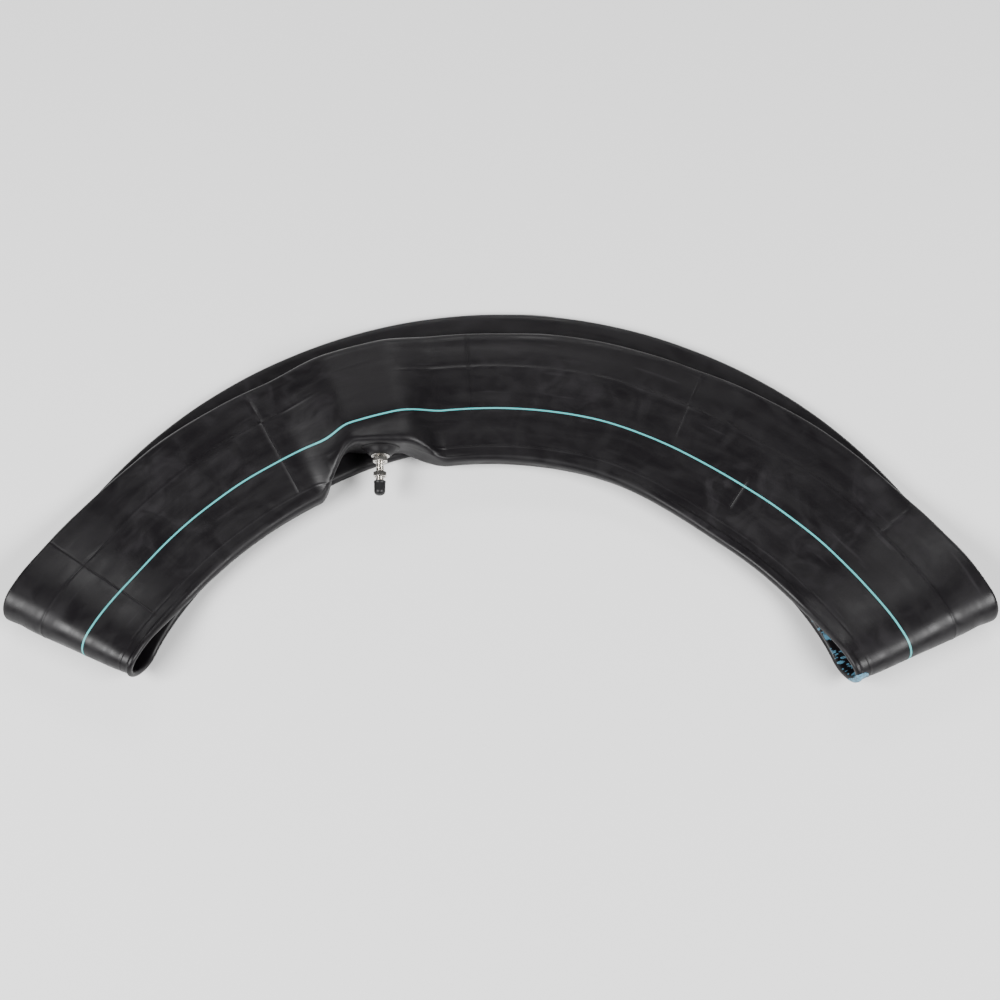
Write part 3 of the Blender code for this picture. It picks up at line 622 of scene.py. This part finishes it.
LENGTH_ROW, WIDTH_RING = 30, 10  # where the map's metres are measured
lengthwise, crosswise = skin[:, LENGTH_ROW], skin[WIDTH_RING]
along_ring = np.linalg.norm(np.diff(lengthwise, axis=0, append=lengthwise[:1]), axis=1)
along_ring = np.concatenate([[0], np.cumsum(along_ring)])
across_band = np.linalg.norm(np.diff(crosswise, axis=0, append=crosswise[:1]), axis=1)
across_band = np.concatenate([[0], np.cumsum(across_band)])
corners = np.empty(len(tube_skin.data.loops), int)
tube_skin.data.loops.foreach_get("vertex_index", corners)
unrolled = np.stack([along_ring[ring_number[corners]], across_band[row_number[corners]]], 1)
tube_skin.data.uv_layers.active.data.foreach_set("uv", unrolled.reshape(-1))
edit(tube_skin)
bpy.ops.mesh.select_all(action="SELECT")
bpy.ops.mesh.remove_doubles(threshold=0.002 * MM)
bpy.ops.mesh.normals_make_consistent(inside=False)
leave()
smooth(tube_skin, 60)
dress(tube_skin, rubber, "tube", "tube_rubber", "tube_body")
print("length round the ring:", round(along_ring[-1], 3), "m")

# %% [markdown]
# ## Stripe and ink marks
# The stripe is a printed line, raised by the thickness of its ink. It could be a pattern in the rubber's
# material, but a line a millimetre and a half wide on a ring nearly two metres round needs a very large
# texture to stay sharp. So the faces between two rows of the skin are copied and given a thin wall: the
# line then follows the skin exactly, round both folds.

# %% The stripe
ink = new_look("teal stripe ink", (0.075, 0.4, 0.41), 0.5)
fade = pattern(ink, 130, 4, distortion=0.5)
tint(ink, between(ink, fade, 0.5, 0.75, 0, 0.5), (0.035, 0.24, 0.26))
roughen(ink, between(ink, fade, 0.3, 0.7, 0.42, 0.6))


STRIPE_INK, DAUB_INK = 0.2 * MM, 0.16 * MM  # thickness of the ink
INK_OFFSET = 0.6  # from -1, all sunk in, to 1, all standing out


def skin_copy(name):
    """A copy of the skin, its custom properties cleared."""
    only(tube_skin)
    bpy.ops.object.duplicate()
    piece = bpy.context.object
    piece.name = name
    for key in list(piece.keys()):
        del piece[key]
    return piece


def keep_faces(piece, test):
    """Deletes the faces that fail the test, which is given each face's corners in UV metres."""
    edit(piece)
    bpy.ops.mesh.select_mode(type="FACE")
    bpy.ops.mesh.select_all(action="DESELECT")
    mesh = bmesh.from_edit_mesh(piece.data)
    layer = mesh.loops.layers.uv.active
    for face in mesh.faces:
        face.select_set(not test([loop[layer].uv for loop in face.loops]))
    bmesh.update_edit_mesh(piece.data)
    bpy.ops.mesh.delete(type="FACE")
    leave()


stripe = skin_copy("ink_stripe")
stripe_row = int(np.argmin(np.abs(OUTSIDE - STRIPE)))
stripe_low, stripe_high = across_band[stripe_row - 1], across_band[stripe_row + 1]
keep_faces(stripe, lambda uvs: all(stripe_low - 0.1 * MM < uv.y < stripe_high + 0.1 * MM for uv in uvs))
apply_modifier(stripe, "SOLIDIFY", thickness=STRIPE_INK, offset=INK_OFFSET)
smooth(stripe, 50)
dress(stripe, ink, "tube", "stripe_ink")

# %% [markdown]
# At one fold the ink that marks the batch was daubed over the inner edge, and more of it was dabbed inside
# the loop. Wet ink has soft, uneven outlines. So the skin is copied again, cut finer, and only the faces
# inside an outline that wobbles with a noise pattern are kept. The dabs are plain blots, with no lettering.

# %% Daubs of ink
daub_ink = new_look("pale blue daub", (0.1, 0.27, 0.39), 0.5)
thin_ink = pattern(daub_ink, 210, 4, stretch=(1, 1, 2.5), distortion=0.8)
tint(daub_ink, between(daub_ink, thin_ink, 0.42, 0.6, 0, 0.85), (0.05, 0.09, 0.12))
roughen(daub_ink, between(daub_ink, thin_ink, 0.3, 0.7, 0.4, 0.62))
fold_start, fold_end = along_ring[UPPERS], along_ring[UPPERS + FOLD_RINGS]
inner_edge_line = across_band[len(OUTSIDE) + EDGE_ROWS]


# The patch: its middle and half length as shares of the fold, the same across in metres, and its outline.
PATCH_ALONG, PATCH_HALF_LENGTH = 0.42, 0.21
PATCH_ACROSS, PATCH_HALF_WIDTH = 6 * MM, 8 * MM
PATCH_SQUARENESS, PATCH_WOBBLE, WOBBLES_A_METRE = 2.6, 0.32, 120
# The dabs: blots to the metre along and across, the slice of noise they come from, and the level of that
# noise above which there is ink.
BLOTS_ALONG, BLOTS_ACROSS, BLOT_SLICE, BLOT_LEVEL = 300, 150, 3.1, 0.16


def cut_finer(piece, cuts):
    edit(piece)
    bpy.ops.mesh.select_all(action="SELECT")
    bpy.ops.mesh.subdivide(number_cuts=cuts)
    leave()


def face_centre(uvs):
    return sum(uv.x for uv in uvs) / len(uvs), sum(uv.y for uv in uvs) / len(uvs)


def in_patch(uvs):
    """Inside a rounded patch over the inner edge of the right fold."""
    u, v = face_centre(uvs)
    along = (u - fold_start) / (fold_end - fold_start) - PATCH_ALONG
    across = (v - inner_edge_line + PATCH_ACROSS) / PATCH_HALF_WIDTH
    wobble = PATCH_WOBBLE * noise.noise(Vector((u * WOBBLES_A_METRE, v * WOBBLES_A_METRE, 0)))
    return (abs(along) / PATCH_HALF_LENGTH) ** PATCH_SQUARENESS + abs(across) ** PATCH_SQUARENESS < 1 + wobble


def in_dabs(uvs):
    """Blots on the loop's inside, near its inner edge."""
    u, v = face_centre(uvs)
    in_loop = fold_start + 6 * MM < u < fold_end + 52 * MM and v > inner_edge_line + 3 * MM
    return in_loop and noise.noise(Vector((u * BLOTS_ALONG, v * BLOTS_ACROSS, BLOT_SLICE))) > BLOT_LEVEL


def near(low_u, high_u, low_v, high_v):
    return lambda uvs: all(low_u < uv.x < high_u and low_v < uv.y < high_v for uv in uvs)


patch_area = near(fold_start - 4 * MM, fold_end + 4 * MM,
                  inner_edge_line - 16 * MM, inner_edge_line + 14 * MM)
dabs_area = near(fold_start, fold_end + 58 * MM, inner_edge_line, inner_edge_line + 24 * MM)
for name, area, test in (("ink_patch", patch_area, in_patch), ("ink_dabs", dabs_area, in_dabs)):
    daub = skin_copy(name)
    keep_faces(daub, area)
    cut_finer(daub, 3)
    keep_faces(daub, test)
    apply_modifier(daub, "SOLIDIFY", thickness=DAUB_INK, offset=INK_OFFSET)
    smooth(daub, 50)
    dress(daub, daub_ink, "tube", "mark_ink")

# %% [markdown]
# ## The valve
# The threaded stem stands on a flange inside an oval rubber patch. A ridge washer and a nut clamp the
# patch, a second nut holds the rim, and a plastic cap keeps dirt out. All of them are modelled upright on
# the origin, where they are easy to measure, and then laid on the valve's own axis, which the frame gives.

# %% Where the valve is
joints = {joint["name"]: joint for joint in frame["joints"]}
CLAMP_BASE, NUT_HEIGHT, RIM_BASE = 2.1 * MM, 4.2 * MM, 15.4 * MM
CAP_BASE, STEM_TIP, CAP_TOP = 23.4 * MM, 31.8 * MM, 36 * MM
STEM_RADIUS, STEM_FLAT, THREAD_BORE = 3.85 * MM, 3.35 * MM, 4.15 * MM
PITCH, THREAD_DEPTH = 25.4 / 32 * MM, 0.46 * MM
outwards = Vector(joints["clamp_turn"]["axis"])
seat = Vector(joints["clamp_turn"]["pos_m"]) - outwards * CLAMP_BASE
sideways = Vector((1, 0, 0))
valve_place = Matrix.Translation(seat) @ Matrix(
    (sideways, outwards.cross(sideways), outwards)).transposed().to_4x4()


def on_valve(piece):
    """Lays an upright piece on the valve's axis, its place kept in its mesh."""
    only(piece)
    piece.matrix_world = valve_place
    bpy.ops.object.transform_apply(location=True, rotation=True, scale=True)
    return piece


print("valve seat in mm:", [round(value / MM, 2) for value in seat])

# %% [markdown]
# ## Nickel plate
# The stem and nuts are turned brass under a thin bright plate. It is a metal with a low roughness that
# varies a little, and faint lathe marks and specks where the plate has dulled.

# %% Metal and plastic finishes
nickel = new_look("bright nickel plate", (0.68, 0.655, 0.62), 0.2, 1.0)
haze = pattern(nickel, 420, 4)
tint(nickel, between(nickel, haze, 0.5, 0.8, 0, 0.5), (0.4, 0.36, 0.32))
roughen(nickel, between(nickel, haze, 0.35, 0.7, 0.1, 0.3))
raise_grain(nickel, pattern(nickel, 2600, 2), 0.012 * MM)

brass = new_look("turned brass", (0.72, 0.5, 0.22), 0.28, 1.0)
dull = pattern(brass, 900, 3)
tint(brass, between(brass, dull, 0.45, 0.75, 0, 0.6), (0.42, 0.27, 0.11))
roughen(brass, between(brass, dull, 0.3, 0.7, 0.2, 0.42))

wire = new_look("drawn spring wire", (0.55, 0.56, 0.58), 0.3, 1.0)
roughen(wire, between(wire, pattern(wire, 3000, 2), 0.3, 0.7, 0.2, 0.4))

cap_plastic = new_look("black moulded cap plastic", (0.004, 0.004, 0.0045), 0.4, specular=0.35)
mottle = pattern(cap_plastic, 700, 3)
roughen(cap_plastic, between(cap_plastic, mottle, 0.3, 0.7, 0.34, 0.5))
raise_grain(cap_plastic, pattern(cap_plastic, 3500, 2), 0.02 * MM)

red_rubber = new_look("red seal rubber", (0.32, 0.03, 0.02), 0.5)
roughen(red_rubber, between(red_rubber, pattern(red_rubber, 1500, 2), 0.3, 0.7, 0.4, 0.6))
black_seal = new_look("black seal rubber", (0.02, 0.02, 0.02), 0.6)
roughen(black_seal, between(black_seal, pattern(black_seal, 1500, 2), 0.3, 0.7, 0.5, 0.7))
print("finishes:", len(bpy.data.materials))

# %% [markdown]
# ## The stem and its thread
# A thread could be cut with the Screw modifier, but its ends would stay open. Here a turned blank gets its
# upright edges subdivided into many rings, and every point on them moves in or out with its turn and
# height: a ridge that climbs one pitch in each turn. Two flats are pressed across it for a spanner.

# %% Stem
BASE, FLANGE_TOP = -6.2 * MM, -4.7 * MM
CHAMBER, CHAMBER_FLOOR, BORE = 2.75 * MM, STEM_TIP - 6.9 * MM, 2.05 * MM
THREAD_START, THREAD_END = 0.6 * MM, STEM_TIP - 0.5 * MM
STEM_SIDES, RINGS_A_TURN = 40, 8
FLANK_SLOPE, ROOT_DROP = 2, 0.45  # how fast the thread rises, and how far it is lowered for a flat root
blank = [
    (BORE, BASE), (7.7 * MM, BASE), (8 * MM, BASE + 0.3 * MM), (8 * MM, FLANGE_TOP - 0.3 * MM),
    (7.7 * MM, FLANGE_TOP), (STEM_RADIUS, FLANGE_TOP), (STEM_RADIUS, THREAD_START),
    (STEM_RADIUS, THREAD_END), (STEM_RADIUS - 0.45 * MM, STEM_TIP), (CHAMBER + 0.12 * MM, STEM_TIP),
    (CHAMBER, STEM_TIP - 0.12 * MM), (CHAMBER, CHAMBER_FLOOR), (BORE, CHAMBER_FLOOR - 0.9 * MM),
]
stem = turned("threaded_stem", round_rings(blank), STEM_SIDES)
edit(stem)
bpy.ops.mesh.select_mode(type="EDGE")
bpy.ops.mesh.select_all(action="DESELECT")
mesh = bmesh.from_edit_mesh(stem.data)
for edge in mesh.edges:
    heights = sorted(v.co.z for v in edge.verts)
    far = min(math.hypot(v.co.x, v.co.y) for v in edge.verts) > 0.95 * STEM_RADIUS
    edge.select_set(far and heights[0] < 2 * THREAD_START and heights[1] > THREAD_END - 0.1 * MM)
bmesh.update_edit_mesh(stem.data)
cuts = round((THREAD_END - THREAD_START) / PITCH * RINGS_A_TURN)
bpy.ops.mesh.subdivide(number_cuts=cuts)
mesh = bmesh.from_edit_mesh(stem.data)
for vertex in mesh.verts:
    x, y, z = vertex.co
    radius = math.hypot(x, y)
    if radius > 0.85 * STEM_RADIUS and THREAD_START - 0.01 * MM < z:
        phase = (z / PITCH - math.atan2(y, x) / (2 * math.pi)) % 1
        ridge = min(max(abs(2 * phase - 1) * FLANK_SLOPE - ROOT_DROP, 0), 1)  # 0 in the root, 1 on the crest
        runout = min((z - THREAD_START) / PITCH, (THREAD_END - z) / PITCH, 1)
        scale = (radius - THREAD_DEPTH * (1 - ridge) * max(runout, 0)) / radius
        x, y = x * scale, y * scale
        vertex.co.x = min(max(x, -STEM_FLAT), STEM_FLAT)
        vertex.co.y = y
bmesh.update_edit_mesh(stem.data)
bpy.ops.mesh.select_all(action="SELECT")
bpy.ops.mesh.normals_make_consistent(inside=False)
leave()
smooth(on_valve(stem), 40)
dress(stem, nickel, "tube", "nickel_plate", "valve_stem")

# %% [markdown]
# ## Nuts and washer
# A nut is a six-sided prism. Its corners are turned off by a cone on both ends, so the flats end in the
# curved edges that make a nut look like one: a Boolean with a turned double cone does exactly that, and
# another one drills it. The bevel after them hardly shows. The Booleans leave some edges with almost no
# length, and a bevel whose overlap is clamped can't be wider than those allow. The washer is turned.

# %% Washer and nuts
NUT_ROUND = 64  # sides of what is round on the nuts and the washer


def hex_nut(name, base, flat, body, node):
    """A chamfered, drilled nut; flat is from its axis to a flat side."""
    corner, top = flat / math.cos(math.pi / 6), base + NUT_HEIGHT
    slope = corner - flat
    bpy.ops.object.select_all(action="DESELECT")
    bpy.ops.mesh.primitive_cylinder_add(vertices=6, radius=corner, depth=NUT_HEIGHT,
                                        location=(0, 0, (base + top) / 2))
    nut = bpy.context.object
    nut.name = name
    bpy.ops.object.transform_apply(location=True)
    cone_outline = [
        (0.9 * flat, base - 0.1 * MM), (0.96 * flat, base), (corner + 0.2 * MM, base + slope),
        (corner + 0.2 * MM, top - slope), (0.96 * flat, top), (0.9 * flat, top + 0.1 * MM),
    ]
    drill_outline = [
        (THREAD_BORE + 1.5 * MM, base - 1 * MM), (THREAD_BORE + 0.5 * MM, base),
        (THREAD_BORE, base + 0.5 * MM), (THREAD_BORE, top - 0.5 * MM),
        (THREAD_BORE + 0.5 * MM, top), (THREAD_BORE + 1.5 * MM, top + 1 * MM),
    ]
    cone = turned("cone", round_rings(cone_outline), NUT_ROUND, closed=False)
    drill = turned("drill", round_rings(drill_outline), NUT_ROUND, closed=False)
    for tool, operation in ((cone, "INTERSECT"), (drill, "DIFFERENCE")):
        apply_modifier(nut, "BOOLEAN", object=tool, operation=operation)
        bpy.data.objects.remove(tool)
    apply_modifier(nut, "BEVEL", width=0.09 * MM, segments=2, limit_method="ANGLE",
                   angle_limit=math.radians(28), use_clamp_overlap=True)
    smooth(on_valve(nut), 30)
    dress(nut, nickel, body, "nickel_plate", node)


hex_nut("clamp_hex_nut", CLAMP_BASE, 6 * MM, "clamp_nut", "clamp_nut")
hex_nut("rim_hex_nut", RIM_BASE, 5.5 * MM, "rim_nut", "rim_nut")

WASHER_BASE, WASHER_TOP, WASHER_RADIUS = 0.3 * MM, 1.8 * MM, 8 * MM
washer_outline = [
    (THREAD_BORE, WASHER_BASE + 0.45 * MM), (6.0 * MM, WASHER_BASE + 0.45 * MM), (6.6 * MM, WASHER_BASE),
    (7.85 * MM, WASHER_BASE), (WASHER_RADIUS, WASHER_BASE + 0.15 * MM), (WASHER_RADIUS, 0.95 * MM),
    (7.8 * MM, 1.15 * MM), (7.0 * MM, 1.35 * MM), (6.75 * MM, 1.7 * MM), (6.35 * MM, WASHER_TOP),
    (6.0 * MM, 1.7 * MM), (5.8 * MM, 1.55 * MM), (THREAD_BORE + 0.15 * MM, 1.55 * MM),
    (THREAD_BORE, 1.4 * MM),
]
washer = turned("ridged_washer", round_rings(washer_outline), NUT_ROUND)
smooth(on_valve(washer), 25)
dress(washer, nickel, "washer", "nickel_plate", "ridge_washer")

# %% [markdown]
# ## Cap
# The cap is a small moulded cup with a dome, and fine grip ribs round its side. The ribs could be separate
# bars, but on a moulded cap they are one with the wall. So they are moved points again: grooves are pressed
# into the wall between them, and fade out towards the rim and the dome.

# %% Dust cap
CAP_SIDES, RIBS, RIB_DEPTH = 96, 24, 0.17 * MM
CAP_RADIUS, CAP_CEILING, DOME = 4.95 * MM, 33.4 * MM, 3.9 * MM
RIBS_START, RIBS_END = CAP_BASE + 1.7 * MM, CAP_TOP - 0.6 * DOME
WALL_START, WALL_DRAFT, DOME_FULLNESS = 1.9, 0.016, 0.75  # the first in millimetres above the cap's base
cap_outline = [
    (1 * MM, CAP_CEILING), (THREAD_BORE - 0.2 * MM, CAP_CEILING), (THREAD_BORE, CAP_CEILING - 0.2 * MM),
    (THREAD_BORE, CAP_BASE + 0.3 * MM), (THREAD_BORE + 0.2 * MM, CAP_BASE), (CAP_RADIUS, CAP_BASE),
    (CAP_RADIUS + 0.2 * MM, CAP_BASE + 0.2 * MM), (CAP_RADIUS + 0.2 * MM, CAP_BASE + 1.4 * MM),
    (CAP_RADIUS + 0.05 * MM, CAP_BASE + 1.6 * MM),
]
for level in np.linspace(WALL_START, CAP_TOP / MM - CAP_BASE / MM - DOME / MM, 12):
    cap_outline.append((CAP_RADIUS - WALL_DRAFT * (level - WALL_START) * MM, CAP_BASE + level * MM))
dome_radius = cap_outline[-1][0]
for turn in np.linspace(0, math.pi / 2, 10)[1:-1]:
    radius = dome_radius * math.cos(turn) ** DOME_FULLNESS
    cap_outline.append((radius, CAP_TOP - DOME + DOME * math.sin(turn)))
cap = turned("ribbed_dust_cap", round_rings(cap_outline), CAP_SIDES, closed=False)
for vertex in cap.data.vertices:
    x, y, z = vertex.co
    radius = math.hypot(x, y)
    if radius > THREAD_BORE + 0.4 * MM and RIBS_START < z < RIBS_END:
        fading = float(eased((RIBS_END - z) / (2 * MM)) * eased((z - RIBS_START) / (0.6 * MM)))
        groove = max(0.0, math.cos(RIBS * math.atan2(y, x)))
        scale = 1 - RIB_DEPTH * groove * fading / radius
        vertex.co.x, vertex.co.y = x * scale, y * scale
smooth(on_valve(cap), 40)
dress(cap, cap_plastic, "cap", "cap_plastic", "cap_shell")

# %% [markdown]
# ## Patch
# The rubber patch is an oval dome that comes down to a thin edge, so it looks like part of the tube it is
# bonded to. It is turned like the washer, from rings that are longer than they are high. Its rubber reads
# Object coordinates, as the patch has no map that follows the band.

# %% Rubber patch
pad_rubber = new_look("patch rubber", (0.0034, 0.0028, 0.0036), 0.42, specular=RUBBER_SPECULAR)
scuffs = pattern(pad_rubber, 180, 4, distortion=0.8)
roughen(pad_rubber, between(pad_rubber, scuffs, 0.35, 0.65, 0.38, 0.5))
raise_grain(pad_rubber, pattern(pad_rubber, 1400, 2), 0.03 * MM)
PAD_LONG, PAD_HIGH, PAD_SEAT, PAD_BASE = 17 * MM, 13 * MM, 8.3 * MM, -6.2 * MM
PAD_RIM, PAD_SHOULDER, RECESS_TOP = PAD_BASE + 0.3 * MM, -0.1 * MM, -4.4 * MM
DOME_LEVELS = 14
pad_rings = [
    (PAD_LONG - 2 * MM, PAD_HIGH - 2 * MM, PAD_BASE), (PAD_LONG, PAD_HIGH, PAD_BASE + 0.1 * MM),
    (PAD_LONG, PAD_HIGH, PAD_RIM),
]
for level in range(1, DOME_LEVELS + 1):
    share = level / DOME_LEVELS
    long, high = (radius + (PAD_SEAT - radius) * share for radius in (PAD_LONG, PAD_HIGH))
    pad_rings.append((long, high, PAD_RIM + (PAD_SHOULDER - PAD_RIM) * float(eased(share)) ** 0.9))
pad_rings += round_rings([
    (7.9 * MM, 0), (4.6 * MM, 0), (THREAD_BORE, -0.3 * MM), (THREAD_BORE, RECESS_TOP),
    (PAD_SEAT, RECESS_TOP), (PAD_SEAT, PAD_BASE),
])
pad = turned("moulded_patch", pad_rings, 72)
smooth(on_valve(pad), 50)
dress(pad, pad_rubber, "tube", "pad_rubber", "valve_base_pad")

# %% [markdown]
# ## The core
# The core's plug, barrel, pin and seals are already turned pieces of the right shape in the frame, deep
# inside the stem, so they stay as they are and only take a finish.

# %% Finish the core's pieces
CORE_LOOKS = {
    "core_plug": brass, "core_barrel": brass, "core_pin": brass, "core_pin_cup": brass,
    "core_barrel_gasket": red_rubber, "core_cup_gasket": black_seal, "cap_gasket": black_seal,
    "core_spring": wire,
}
for node, look in CORE_LOOKS.items():
    piece = frame["nodes"][node]
    piece.data.materials.clear()
    piece.data.materials.append(look)
print("carried-over pieces:", len(CORE_LOOKS))

# %% [markdown]
# ## Studio
# Black rubber shows only what it reflects. The floor is pale and bright, but the flat top of the band must
# not mirror a lamp into the camera. So two large soft boxes stand in front, far out to the left and right:
# they light the floor and draw a soft band of light along each fold. A weaker one behind separates the back
# edge from the floor, and a weak sky fills the shadows.

# %% Floor, lights and camera
bpy.ops.object.select_all(action="DESELECT")
FLOOR_SIZE, FLOOR_DROP = 9, 0.4 * MM  # a hair under the rubber, so that the two don't share a surface
bpy.ops.mesh.primitive_plane_add(size=FLOOR_SIZE, location=(0, 0, -FLOOR_DROP))
floor = bpy.context.object
floor.name = "studio_floor"
paper = new_look("pale paper", (0.86, 0.86, 0.86), 0.9)
roughen(paper, between(paper, pattern(paper, 30, 2), 0.3, 0.7, 0.85, 0.95))
floor.data.materials.append(paper)

world = bpy.data.worlds.new("studio")
bpy.context.scene.world = world
world.use_nodes = True
world.node_tree.nodes["Background"].inputs["Color"].default_value = (1, 1, 1, 1)
world.node_tree.nodes["Background"].inputs["Strength"].default_value = 0.1


def soft_box(name, azimuth, elevation, reach, width, height, power):
    """A rectangular lamp that looks at the middle of the tube. Azimuth 0 is in front, 90 right."""
    turn, lift = math.radians(azimuth), math.radians(elevation)
    away = Vector((math.sin(turn) * math.cos(lift), -math.cos(turn) * math.cos(lift), math.sin(lift)))
    lamp = bpy.data.lights.new(name, "AREA")
    lamp.shape = "RECTANGLE"
    lamp.size, lamp.size_y, lamp.energy = width, height, power
    holder = bpy.data.objects.new(name, lamp)
    bpy.context.collection.objects.link(holder)
    holder.location = away * reach
    holder.rotation_euler = (-away).to_track_quat("-Z", "Y").to_euler()


soft_box("left soft box", -62, 44, 2.4, 1.3, 0.9, 92)
soft_box("right soft box", 62, 44, 2.4, 1.3, 0.9, 84)
soft_box("back soft box", 180, 36, 2.6, 1.6, 0.5, 20)

VIEW_ELEVATION, VIEW_DISTANCE, VIEW_WIDTH = math.radians(67), 1.8, 0.855
aim = Vector((0, -0.0085, 0.015))
camera = bpy.data.cameras.new("camera")
holder = bpy.data.objects.new("camera", camera)
bpy.context.collection.objects.link(holder)
holder.location = aim + VIEW_DISTANCE * Vector((0, -math.cos(VIEW_ELEVATION), math.sin(VIEW_ELEVATION)))
holder.rotation_euler = (math.pi / 2 - VIEW_ELEVATION, 0, 0)
camera.lens = camera.sensor_width * VIEW_DISTANCE / VIEW_WIDTH
bpy.context.scene.camera = holder
print("lens:", round(camera.lens, 1), "mm")
